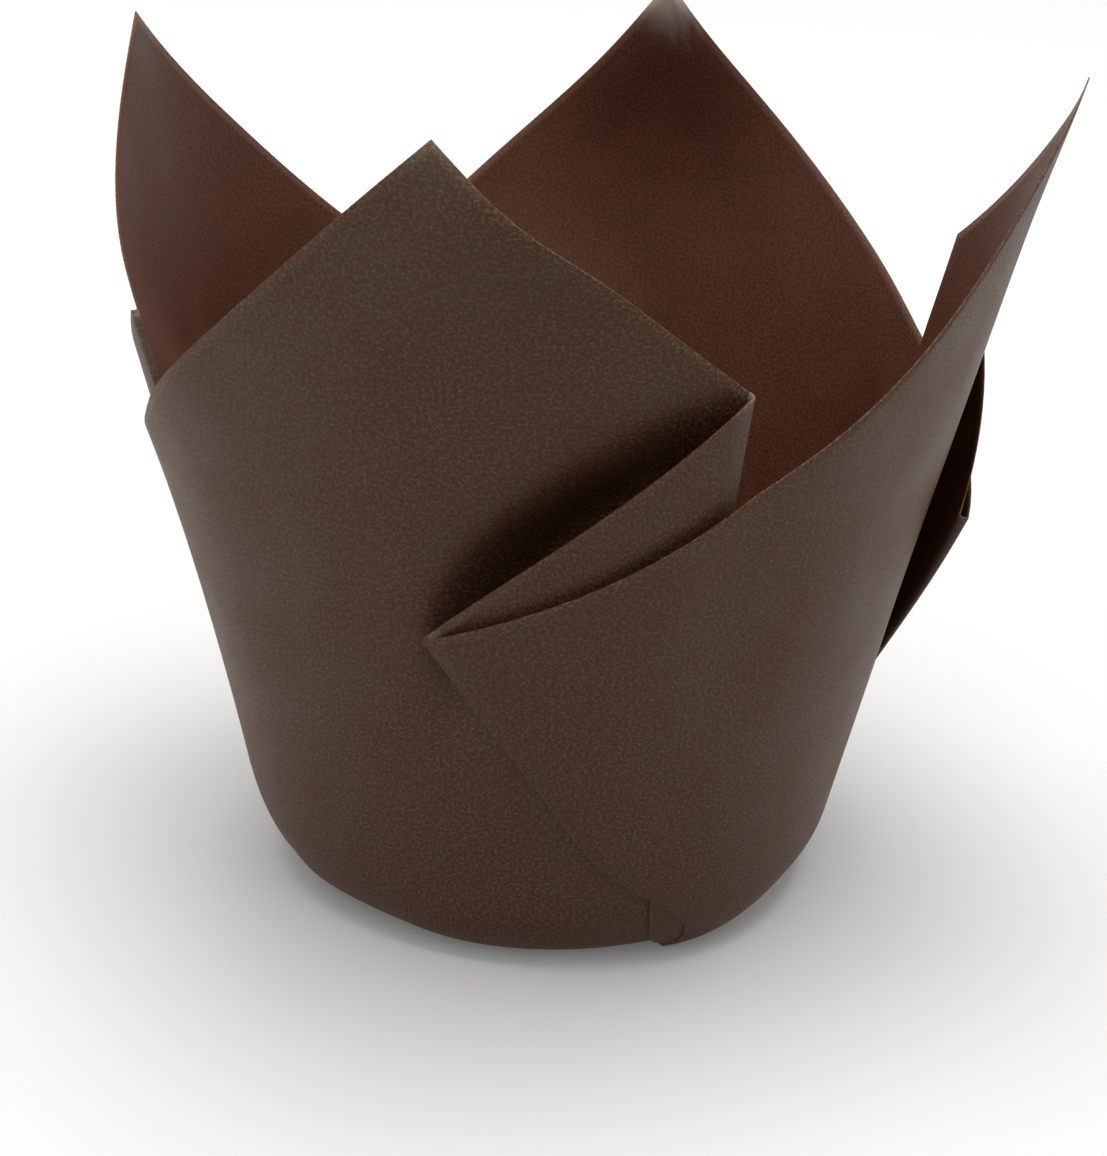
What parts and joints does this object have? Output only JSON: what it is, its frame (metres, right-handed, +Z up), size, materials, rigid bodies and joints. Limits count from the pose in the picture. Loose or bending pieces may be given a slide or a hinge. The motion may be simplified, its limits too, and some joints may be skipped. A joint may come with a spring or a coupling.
{
  "type": "tulip baking cup",
  "caption": "Tulip baking cup folded from one square of dark brown greaseproof paper, with pointed petals and deep side pleats",
  "frame": {"origin": "middle of the round base, on its underside", "axes": "+Z up out of the mouth, -Y towards the petal nearest the viewer in the picture, +X towards its right petal"},
  "size_m": [0.0856, 0.0827, 0.0792],
  "materials": {
    "greaseproof_paper": "smooth unbleached dark brown greaseproof paper with a faint mottle and a soft sheen"
  },
  "bodies": {
    "root": {"paper_cup": "greaseproof_paper"}
  },
  "joints": []
}
